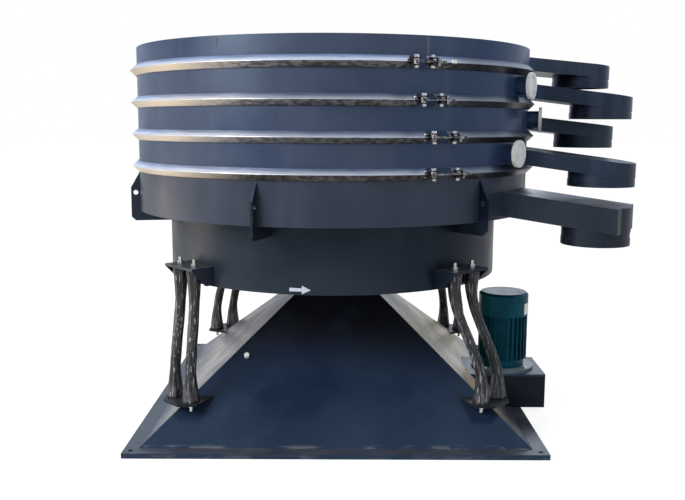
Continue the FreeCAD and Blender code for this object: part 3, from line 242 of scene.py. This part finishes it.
def painted_steel(name, navy, slate, gloss=(0.26, 0.40), reflection=0.40, dust=0.35,
                  dust_colour=SETTLED_DUST, right_shade=None, scrapes=None, dark_ducts=False,
                  lit_dusty_slopes=False):
    """Blue paint: cloudy tone, orange peel, faint runs, rubbed edges and dust on what faces up.

    right_shade is the colour that the paint turns to towards +X, as painted shade. scrapes gives
    the height below which scrapes are thickest, the height where they end, and how strong they are.
    lit_dusty_slopes adds the pyramid's dust with painted sunlight and shade on its slopes and top.
    """
    made, tree, shader = new_material(name)
    colour = blend_colours(tree, patches(tree, 2.3, 6.0, 0.35, 0.65), navy, slate)
    if right_shade is not None:
        # Painted shade: the paint turns to a darker, bluer colour towards +X.
        painted_shade_share = ramp(tree, place_along(tree, "X"), 0.05, 0.85, 0.0, 0.85)
        colour = blend_colours(tree, painted_shade_share, colour, right_shade)
    if dark_ducts:
        colour = blend_colours(tree, away_from_body_axis(tree, *DUCTS), colour, scaled(navy, 0.42))
    if lit_dusty_slopes:
        colour = dust_and_light_on_slopes(tree, colour)
    runs = patches(tree, 9.0, 3.0, 0.52, 0.72, 0.0, 0.22, (1, 1, 0.12))
    colour = blend_colours(tree, runs, colour, scaled(slate, 1.7))
    upward = ramp(tree, facing(tree, "Z"), 0.80, 0.98, 0.0, dust)
    settled = multiply(tree, upward, patches(tree, 9.0, 12.0, 0.22, 0.78, 0.50, 1.0))
    colour = blend_colours(tree, settled, colour, dust_colour)
    worn = patches(tree, 30.0, 5.0, 0.42, 0.66, 0.0, 0.50)
    colour = blend_colours(tree, multiply(tree, edge_mask(tree, 0.003), worn), colour, RUBBED_PAINT)
    specks = patches(tree, 160.0, 2.0, 0.70, 0.76, 0.0, 0.22)
    colour = blend_colours(tree, specks, colour, PALE_SPECKS)
    if scrapes is not None:
        thickest, highest, strength = scrapes
        near_foot = ramp(tree, place_along(tree, "Z"), highest, thickest)
        scraped = patches(tree, 26.0, 8.0, 0.50, 0.62, 0.0, strength, (0.35, 0.35, 2.0))
        colour = blend_colours(tree, multiply(tree, near_foot, scraped), colour, SCRAPED_STEEL)
    tree.links.new(colour, shader.inputs["Base Color"])
    tree.links.new(patches(tree, 5.0, 5.0, 0.30, 0.70, *gloss), shader.inputs["Roughness"])
    shader.inputs["Specular IOR Level"].default_value = reflection
    shader.inputs["Specular Tint"].default_value = BLUE_SHEEN
    add_bump(tree, shader, noise(tree, 420.0, 2.0), 0.08, 0.0006)
    return made


def bare_steel(name, colour, roughness, brushed=(1, 1, 1), scale=60.0):
    """Bright metal with brush marks and darker stains."""
    made, tree, shader = new_material(name)
    marks = noise(tree, scale, 4.0, brushed)
    tint = blend_colours(tree, ramp(tree, marks, 0.3, 0.7), scaled(colour, 0.82), colour)
    stains = patches(tree, 7.0, 7.0, 0.58, 0.74, 0.0, 0.40)
    tint = blend_colours(tree, stains, tint, scaled(colour, 0.42))
    tree.links.new(tint, shader.inputs["Base Color"])
    rough = ramp(tree, marks, 0.3, 0.7, roughness * 0.75, roughness * 1.3)
    tree.links.new(rough, shader.inputs["Roughness"])
    shader.inputs["Metallic"].default_value = 1.0
    add_bump(tree, shader, marks, 0.12, 0.0004)
    return made


def clamp_steel():
    """Satin stainless bands with dark rusty lugs, a painted highlight on the rounded tip, painted
    sky reflection above, painted shade below and towards +X, and painted ground reflection low at
    -X.
    """
    made, tree, shader = new_material("clamp_steel")
    streaks = noise(tree, 26.0, 5.0, (0.3, 0.3, 5.0))
    # The upper slopes are lighter and bluer: a painted sky reflection.
    satin_with_sky_sheen = blend_colours(tree, ramp(tree, streaks, 0.3, 0.7), (0.34, 0.41, 0.58),
                          (0.52, 0.60, 0.78))

    # Painted shade on the downward slopes, with a painted beige reflection of the ground towards
    # -X.
    mottled = patches(tree, 34.0, 6.0, 0.36, 0.62, stretch=(1, 1, 2.5))
    below = blend_colours(tree, mottled, (0.070, 0.062, 0.058), (0.210, 0.190, 0.170))
    ground_reflection_on_left = ramp(tree, place_along(tree, "X"), -0.35, -0.80)
    below = blend_colours(tree, ground_reflection_on_left, below, (0.780, 0.660, 0.500))
    colour = blend_colours(tree, ramp(tree, facing(tree, "Z"), 0.10, -0.35), satin_with_sky_sheen, below)

    # A painted highlight along each band's rounded tip.
    upper_side = ramp(tree, facing(tree, "Z"), -0.15, 0.10)
    tip_highlight_band = multiply(tree, away_from_body_axis(tree, *RING_TIP), upper_side)
    bright = multiply(tree, tip_highlight_band, ramp(tree, streaks, 0.30, 0.55, 0.70, 1.0))
    colour = blend_colours(tree, bright, colour, (0.95, 0.97, 1.00))

    # Painted shade towards +X.
    painted_shade_on_right = ramp(tree, place_along(tree, "X"), 0.36, 0.62, 0.0, 0.72)
    colour = blend_colours(tree, painted_shade_on_right, colour, (0.075, 0.085, 0.095))

    lugs = away_from_body_axis(tree, *RING_LUGS)
    rusty = blend_colours(tree, patches(tree, 120.0, 6.0, 0.42, 0.62), (0.030, 0.026, 0.026),
                          (0.110, 0.060, 0.035))
    colour = blend_colours(tree, lugs, colour, rusty)

    tree.links.new(colour, shader.inputs["Base Color"])
    tree.links.new(ramp(tree, lugs, 0.0, 1.0, 0.34, 0.45), shader.inputs["Roughness"])
    shader.inputs["Metallic"].default_value = 1.0
    rounded = node(tree, "ShaderNodeBevel", {"samples": BEVEL_SAMPLES}, Radius=0.007)
    bump = node(tree, "ShaderNodeBump", Height=streaks, Strength=0.08, Distance=0.0006,
                Normal=rounded.outputs[0])
    tree.links.new(bump.outputs[0], shader.inputs["Normal"])
    return made


def bolt_steel():
    """Dark oily bolts with painted highlights along their edges and threads."""
    made, tree, shader = new_material("bolt_steel")
    dull = blend_colours(tree, patches(tree, 90.0, 5.0, 0.40, 0.62), (0.055, 0.055, 0.060),
                         (0.260, 0.250, 0.235))
    # Painted highlights along the edges and threads.
    colour = blend_colours(tree, edge_mask(tree, 0.0022), dull, (0.80, 0.78, 0.72))
    tree.links.new(colour, shader.inputs["Base Color"])
    shader.inputs["Metallic"].default_value = 1.0
    shader.inputs["Roughness"].default_value = 0.34
    return made


def motor_enamel():
    """Teal enamel on a casting, worn at the fins' edges and darker on the fan cover's top."""
    made, tree, shader = new_material("motor_enamel")
    grain = patches(tree, 20.0, 6.0, 0.3, 0.7)
    colour = blend_colours(tree, grain, (0.0008, 0.034, 0.056), (0.0020, 0.054, 0.080))
    worn = multiply(tree, edge_mask(tree, 0.002), patches(tree, 60.0, 4.0, 0.5, 0.68, 0.0, 0.5))
    colour = blend_colours(tree, worn, colour, (0.030, 0.120, 0.150))
    upward = ramp(tree, facing(tree, "Z"), 0.7, 0.95)
    top = multiply(tree, upward, ramp(tree, place_along(tree, "Z"), 0.50, 0.54))
    colour = blend_colours(tree, top, colour, (0.0030, 0.0080, 0.0100))
    tree.links.new(colour, shader.inputs["Base Color"])
    tree.links.new(patches(tree, 9.0, 4.0, 0.3, 0.7, 0.28, 0.42), shader.inputs["Roughness"])
    shader.inputs["Specular IOR Level"].default_value = 0.30
    shader.inputs["Specular Tint"].default_value = TEAL_SHEEN
    add_bump(tree, shader, noise(tree, 260.0, 3.0), 0.12, 0.0008)
    return made


def noise_along_leg(tree, scale, detail, distortion):
    """Noise in the leg's own coordinates, which run round it and along it."""
    place = node(tree, "ShaderNodeTexCoord")
    mapped = node(tree, "ShaderNodeMapping", Vector=place.outputs["UV"], Scale=scale)
    made = node(tree, "ShaderNodeTexNoise", Vector=mapped.outputs[0], Scale=1.0, Detail=detail,
                Distortion=distortion)
    return made.outputs["Fac"]


def filmed_rubber():
    """Black rubber under clear film: long streaks and folds, brown smears, and fine pale flecks
    that are painted highlights on the film.
    """
    made, tree, shader = new_material("filmed_rubber")
    streaks = noise_along_leg(tree, (22.0, 3.4, 1.0), 8.0, 1.2)
    bands = noise_along_leg(tree, (5.0, 1.3, 1.0), 3.0, 0.6)
    where_banded = ramp(tree, bands, 0.40, 0.60, 0.10, 1.0)
    hazed = multiply(tree, ramp(tree, streaks, 0.50, 0.62), where_banded)
    colour = blend_colours(tree, hazed, (0.0035, 0.0035, 0.0050), (0.082, 0.081, 0.088))
    smeared = patches(tree, 26.0, 7.0, 0.54, 0.66, 0.0, 0.45, (1, 1, 0.35))
    colour = blend_colours(tree, smeared, colour, (0.034, 0.026, 0.020))
    # Painted highlights: fine pale flecks on the film.
    painted_glints = patches(tree, 130.0, 5.0, 0.58, 0.66, 0.0, 0.75, (1, 1, 0.09))
    colour = blend_colours(tree, painted_glints, colour, (0.330, 0.335, 0.360))
    tree.links.new(colour, shader.inputs["Base Color"])
    tree.links.new(ramp(tree, streaks, 0.3, 0.7, 0.55, 0.34), shader.inputs["Roughness"])
    shader.inputs["Specular IOR Level"].default_value = 0.35
    shader.inputs["Coat Weight"].default_value = 0.12
    shader.inputs["Coat Roughness"].default_value = 0.15
    add_bump(tree, shader, streaks, 0.65, 0.006)
    return made


def plastic(name, colour, roughness, soil=(0.30, 0.30, 0.29)):
    """A plain matt surface with soiled patches and fine grain."""
    made, tree, shader = new_material(name)
    soiled = patches(tree, 38.0, 7.0, 0.56, 0.74, 0.0, 0.45)
    tree.links.new(blend_colours(tree, soiled, colour, soil), shader.inputs["Base Color"])
    shader.inputs["Roughness"].default_value = roughness
    add_bump(tree, shader, noise(tree, 150.0, 3.0), 0.06, 0.0008)
    return made


def woven_wire():
    """Fine square mesh, drawn by two crossed waves."""
    made, tree, shader = new_material("woven_wire")
    place = node(tree, "ShaderNodeTexCoord")
    waves = [node(tree, "ShaderNodeTexWave", {"bands_direction": axis},
                  Vector=place.outputs["Object"], Scale=120.0) for axis in ("X", "Y")]
    wires = node(tree, "ShaderNodeMath", {"operation": "MAXIMUM"},
                 i0=waves[0].outputs["Fac"], i1=waves[1].outputs["Fac"])
    colour = blend_colours(tree, ramp(tree, wires.outputs[0], 0.5, 0.9), (0.10, 0.10, 0.10),
                           (0.55, 0.56, 0.57))
    tree.links.new(colour, shader.inputs["Base Color"])
    shader.inputs["Metallic"].default_value = 0.85
    shader.inputs["Roughness"].default_value = 0.38
    add_bump(tree, shader, wires.outputs[0], 0.4, 0.001)
    return made


PAINT = painted_steel(
    "body_paint", navy=(0.0230, 0.0350, 0.0690), slate=(0.0400, 0.0500, 0.0830),
    right_shade=(0.0130, 0.0330, 0.0900), dark_ducts=True)
PAN_PAINT = painted_steel(
    "pan_paint", navy=(0.0210, 0.0250, 0.0390), slate=(0.0330, 0.0370, 0.0530),
    right_shade=(0.0170, 0.0240, 0.0440), dark_ducts=True)
# A darker copy of the paint, as painted shade under the pan; also on the hub, leg brackets and
# lifting plates.
SHADED_DRUM_PAINT = painted_steel(
    "drum_paint_shaded", navy=(0.0080, 0.0120, 0.0190), slate=(0.0150, 0.0200, 0.0290), reflection=0.26,
    right_shade=(0.0015, 0.0050, 0.0150))
PYRAMID_PAINT = painted_steel(
    "pyramid_paint", navy=(0.0080, 0.0170, 0.0390), slate=(0.0140, 0.0260, 0.0520),
    gloss=(0.22, 0.34), dust=0.10, scrapes=(0.026, 0.040, 0.40), lit_dusty_slopes=True)
BOX_PAINT = painted_steel(
    "box_paint", navy=(0.0030, 0.0040, 0.0075), slate=(0.0060, 0.0075, 0.0120), gloss=(0.28, 0.40),
    reflection=0.22, dust=0.20)
PLATE_PAINT = painted_steel(
    "plate_paint", navy=(0.0070, 0.0180, 0.0400), slate=(0.0150, 0.0290, 0.0560), dust=0.22,
    dust_colour=PLATE_DUST, scrapes=(0.008, 0.026, 0.20))
# Its pale top is dust with a painted sky reflection.
FLANGE_PAINT = painted_steel(
    "flange_paint", navy=(0.0450, 0.0850, 0.1250), slate=(0.0900, 0.1350, 0.1750),
    gloss=(0.20, 0.32), dust=0.60, dust_colour=FLANGE_DUST_AND_SHEEN)
SEAM = painted_steel("seam_paint", navy=(0.0600, 0.0720, 0.1000), slate=(0.0900, 0.1000, 0.1250))
CLAMP = clamp_steel()
BOLT = bolt_steel()
ZINC = bare_steel("zinc_steel", (0.80, 0.78, 0.72), 0.28, scale=140.0)
MACHINED = bare_steel("machined_steel", (0.52, 0.53, 0.55), 0.32, brushed=(1, 1, 12))
IRON = bare_steel("grey_iron", (0.20, 0.21, 0.22), 0.55, scale=90.0)
ENAMEL = motor_enamel()
RUBBER = filmed_rubber()
BELT = plastic("belt_rubber", (0.022, 0.022, 0.022), 0.62, (0.06, 0.06, 0.06))
WHITE = plastic("white_plastic", (0.76, 0.77, 0.77), 0.38)
RUST = plastic("rust_mark", (0.085, 0.052, 0.048), 0.70, (0.20, 0.20, 0.22))
STENCIL = plastic("stencil_paint", (0.43, 0.48, 0.57), 0.55, (0.06, 0.07, 0.10))
FAN = plastic("fan_plastic", (0.025, 0.025, 0.026), 0.50, (0.08, 0.08, 0.08))
WIRE = woven_wire()

NODE_MATERIALS = {
    "base_plate": PLATE_PAINT, "pyramid_housing": PYRAMID_PAINT, "pyramid_plug": WHITE,
    "belt_box": BOX_PAINT, "motor_plate": PLATE_PAINT, "bearing_housing": PAINT,
    "main_bearing": MACHINED, "drive_belt": BELT, "motor_flange": FLANGE_PAINT,
    "motor_frame": ENAMEL, "fan_cover": ENAMEL, "terminal_box": ENAMEL, "motor_bolts": ZINC,
    "motor_shaft": MACHINED, "motor_rotor": MACHINED, "motor_pulley": IRON, "motor_fan": FAN,
    "eccentric_shaft": MACHINED, "driven_pulley": IRON, "counterweight": IRON,
    "journal_bearing": MACHINED,
    "leg_foot_plates": BOX_PAINT, "foot_nuts": ZINC, "leg_columns": RUBBER, "bracket_nuts": ZINC,
    "drum": SHADED_DRUM_PAINT, "journal_hub": SHADED_DRUM_PAINT, "leg_brackets": SHADED_DRUM_PAINT,
    "lifting_plates": SHADED_DRUM_PAINT, "bottom_pan": PAN_PAINT, "deck_frame_1": PAINT,
    "deck_frame_2": PAINT, "deck_frame_3": PAINT, "hood": PAINT, "clamp_pins": ZINC,
    "port_caps": WHITE,
}
for number in range(1, SIEVE_COUNT + 1):
    NODE_MATERIALS[f"sieve_{number}"] = WIRE
    NODE_MATERIALS[f"sieve_support_{number}"] = MACHINED
    NODE_MATERIALS[f"clamp_ring_{number}"] = CLAMP
    NODE_MATERIALS[f"clamp_bolt_{number}"] = BOLT
for number in range(1, LEG_COUNT + 1):
    NODE_MATERIALS[f"leg_{number}"] = RUBBER


def dress_nodes():
    """Each CAD node gets its material."""
    for name, thing in frame["nodes"].items():
        thing.data.materials.clear()
        thing.data.materials.append(NODE_MATERIALS[name])


def drawn_mesh(made, name):
    """The mesh of what was drawn, whose working copy is freed."""
    mesh = bpy.data.meshes.new(name)
    made.to_mesh(mesh)
    made.free()
    return mesh


def add_piece(name, mesh, material):
    """A new piece of the object, with its material."""
    mesh.materials.append(material)
    piece = bpy.data.objects.new(name, mesh)
    bpy.context.scene.collection.objects.link(piece)
    return piece


def leg_line(foot, head):
    """Points up the middle of a leg: upright at both ends, with one long bend between them."""
    start, end = foot.z + STRAIGHT_AT_FOOT, head.z - STRAIGHT_AT_HEAD
    points = []
    for step in range(LEG_STEPS + 1):
        z = foot.z + (head.z - foot.z) * step / LEG_STEPS
        share = min(1.0, max(0.0, (z - start) / (end - start)))
        share = share * share * (3 - 2 * share)
        x = foot.x + (head.x - foot.x) * share
        y = foot.y + (head.y - foot.y) * share
        points.append(Vector((x, y, z)))
    return points


def leg_radius(z, foot_z, head_z):
    """The leg's radius at a height: it flares into its end plates."""
    foot_share = max(0.0, 1 - (z - foot_z) / FOOT_FLARE_HEIGHT) ** FOOT_FLARE_POWER
    head_share = max(0.0, 1 - (head_z - z) / HEAD_FLARE_HEIGHT) ** HEAD_FLARE_POWER
    foot_flare = (FOOT_RADIUS - LEG_RADIUS) * foot_share
    head_flare = (HEAD_RADIUS - LEG_RADIUS) * head_share
    return LEG_RADIUS + foot_flare + head_flare


def leg_ring(made, number, point, radius):
    """The points round a leg at one height, with the film's folds and creases."""
    folds = 5 + number % 3
    flare = (radius - LEG_RADIUS) / (FOOT_RADIUS - LEG_RADIUS)
    ring = []
    for side in range(LEG_SIDES):
        angle = math.tau * side / LEG_SIDES
        fold = math.sin(angle * folds + number * FOLD_SHIFT + point.z * FOLD_TWIST)
        fold = fold * (FOLD_DEPTH + FLARED_FOLD_DEPTH * flare)
        crease = math.sin(angle * 2 + point.z * CREASE_TWIST + number) * CREASE_DEPTH
        reach = radius - FLARE_INSET * flare + fold + crease
        ring.append(made.verts.new(point + Vector((math.cos(angle), math.sin(angle), 0)) * reach))
    return ring


def make_leg(number, foot, head):
    """One rubber leg with the folds of its film, from its foot plate to its bracket."""
    made = bmesh.new()
    rings = [leg_ring(made, number, point, leg_radius(point.z, foot.z, head.z))
             for point in leg_line(foot, head)]
    layer = made.loops.layers.uv.new("around_and_along")
    for level, (low, high) in enumerate(zip(rings, rings[1:])):
        for side in range(LEG_SIDES):
            following = (side + 1) % LEG_SIDES
            face = made.faces.new((low[side], low[following], high[following], high[side]))
            face.smooth = True
            spans = ((side, level), (side + 1, level), (side + 1, level + 1), (side, level + 1))
            for loop, (across, up) in zip(face.loops, spans):
                loop[layer].uv = (across / LEG_SIDES, up / len(rings))
    made.faces.new(reversed(rings[0]))
    made.faces.new(rings[-1])
    mesh = drawn_mesh(made, f"rubber_leg_{number}")
    leg = add_piece(f"rubber_leg_{number}", mesh, RUBBER)
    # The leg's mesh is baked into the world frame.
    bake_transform(leg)
    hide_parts(f"leg_{number}", "leg_columns")


def make_legs():
    """The eight rubber legs; each foot is whichever of its corner's two places is nearer."""
    tops = {joint["name"]: Vector(joint["pos_m"]) for joint in frame["joints"]}
    for number in range(1, LEG_COUNT + 1):
        top = tops[f"leg_{number}_sway"]
        feet = [Vector((math.copysign(x, top.x), math.copysign(y, top.y), FOOT_HEIGHT))
                for x, y in ((FOOT_FAR, FOOT_NEAR), (FOOT_NEAR, FOOT_FAR))]
        foot = min(feet, key=lambda spot: (spot - top).length)
        head = Vector((top.x + BODY_AXIS.x, top.y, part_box(f"leg_{number}")[1].z))
        make_leg(number, foot, head)


def on_cylinder(axis, radius, angle, height):
    """A point on an upright cylinder; the angle is counted from -Y towards +X."""
    return Vector((axis.x + radius * math.sin(angle), axis.y - radius * math.cos(angle), height))


def make_arrow():
    """The painted arrow near the drum's lower edge."""
    radius = (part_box("drum")[1].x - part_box("drum")[0].x) / 2 + STENCIL_THICKNESS
    made = bmesh.new()
    corners = []
    for across, up in ARROW_OUTLINE:
        angle = math.asin((ARROW_X + across * ARROW_HALF - BODY_AXIS.x) / radius)
        height = ARROW_Z + up * ARROW_HALF
        corners.append(made.verts.new(on_cylinder(BODY_AXIS, radius, angle, height)))
    made.faces.new(corners)
    bmesh.ops.triangulate(made, faces=made.faces)
    mesh = drawn_mesh(made, "direction_arrow")
    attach(add_piece("direction_arrow", mesh, STENCIL), "swing_body")


def curved_plate(name, axis, radius, angles, heights, thickness, material, rider):
    """A thin plate bent round an upright cylinder; angles in degrees from -Y towards +X."""
    made = bmesh.new()
    section = ((radius, heights[0]), (radius + thickness, heights[0]),
               (radius + thickness, heights[1]), (radius, heights[1]))
    rows = []
    for step in range(PLATE_STEPS + 1):
        angle = math.radians(angles[0] + (angles[1] - angles[0]) * step / PLATE_STEPS)
        rows.append([made.verts.new(on_cylinder(axis, reach, angle, height))
                     for reach, height in section])
    for first, second in zip(rows, rows[1:]):
        for side in range(len(section)):
            following = (side + 1) % len(section)
            made.faces.new((first[side], second[side], second[following], first[following]))
    made.faces.new(rows[0])
    made.faces.new(reversed(rows[-1]))
    bmesh.ops.recalc_face_normals(made, faces=made.faces)
    mesh = drawn_mesh(made, name)
    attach(add_piece(name, mesh, material), rider)


def make_plates():
    """The motor's blank nameplate, the clip on the top ring, and the hood's seam and rust mark."""
    low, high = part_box("fan_cover")
    axis, radius = (low + high) / 2, (high.x - low.x) / 2
    curved_plate("nameplate", axis, radius, angles=(46, 96), heights=(low.z + 0.010, low.z + 0.068),
                 thickness=PLATE_THICKNESS, material=WHITE, rider="base")

    ring_low, ring_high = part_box("clamp_ring_1")
    middle, top = (ring_low.z + ring_high.z) / 2, ring_high.z
    clip_radius = BODY_AXIS.x - ring_low.x - 0.004
    curved_plate("ring_clip", BODY_AXIS, clip_radius, angles=(29.5, 30.8),
                 heights=(middle - 0.002, middle + 0.012), thickness=CLIP_THICKNESS, material=WHITE,
                 rider="swing_body")
    curved_plate("hood_seam", BODY_AXIS, HOOD_RADIUS, angles=(23.6, 24.1),
                 heights=(top + 0.002, top + 0.078), thickness=PLATE_THICKNESS, material=SEAM,
                 rider="swing_body")
    curved_plate("hood_mark", BODY_AXIS, HOOD_RADIUS, angles=(-29.0, -28.7),
                 heights=(top + 0.040, top + 0.078), thickness=PLATE_THICKNESS, material=RUST,
                 rider="swing_body")


def make_floor():
    """A pale floor that looks as white as the surroundings."""
    bpy.ops.mesh.primitive_plane_add(size=FLOOR_SIZE)
    floor = bpy.context.object
    floor.name = "floor"
    made = bpy.data.materials.new("floor")
    made.use_nodes = True
    tree = made.node_tree
    tree.nodes.clear()
    path = node(tree, "ShaderNodeLightPath")
    plain = node(tree, "ShaderNodeBsdfDiffuse", Color=(0.80, 0.80, 0.80, 1))
    glow = node(tree, "ShaderNodeEmission", Color=(1, 1, 1, 1), Strength=FLOOR_GLOW)
    share = multiply(tree, path.outputs["Is Camera Ray"], FLOOR_GLOW_SHARE)
    mixed = node(tree, "ShaderNodeMixShader", i0=share, i1=plain.outputs[0], i2=glow.outputs[0])
    out = node(tree, "ShaderNodeOutputMaterial")
    tree.links.new(mixed.outputs[0], out.inputs[0])
    floor.data.materials.append(made)


def make_surroundings():
    """Surroundings that are white to the camera, bluish in reflections and light grey otherwise."""
    world = bpy.data.worlds.new("studio")
    bpy.context.scene.world = world
    world.use_nodes = True
    tree = world.node_tree
    path = node(tree, "ShaderNodeLightPath")
    mirrored = blend_colours(tree, path.outputs["Is Glossy Ray"], (0.60, 0.60, 0.60),
                             (0.62, 0.70, 0.86))
    shown = blend_colours(tree, path.outputs["Is Camera Ray"], mirrored, (1.0, 1.0, 1.0))
    tree.links.new(shown, tree.nodes["Background"].inputs["Color"])


def make_lamps():
    """Soft square lamps, turned to the middle of the machine."""
    for name, spot, size, power, tint in LAMPS:
        light = bpy.data.lights.new(name, "AREA")
        light.size = size
        light.energy = power
        light.color = tint
        lamp = bpy.data.objects.new(name, light)
        lamp.location = spot
        lamp.rotation_euler = (LAMP_TARGET - Vector(spot)).to_track_quat("-Z", "Y").to_euler()
        bpy.context.scene.collection.objects.link(lamp)


def make_camera():
    """The camera at the photograph's viewing angle."""
    lens = bpy.data.cameras.new("camera")
    lens.lens = CAMERA_LENS
    lens.shift_x = CAMERA_SHIFT
    camera = bpy.data.objects.new("camera", lens)
    camera.location = CAMERA_PLACE
    camera.rotation_euler = (math.radians(90 - CAMERA_DOWN), math.radians(CAMERA_ROLL), 0)
    bpy.context.scene.collection.objects.link(camera)
    bpy.context.scene.camera = camera
    bpy.context.scene.view_settings.view_transform = "Standard"


dress_nodes()
make_legs()
make_arrow()
make_plates()
make_floor()
make_surroundings()
make_lamps()
make_camera()
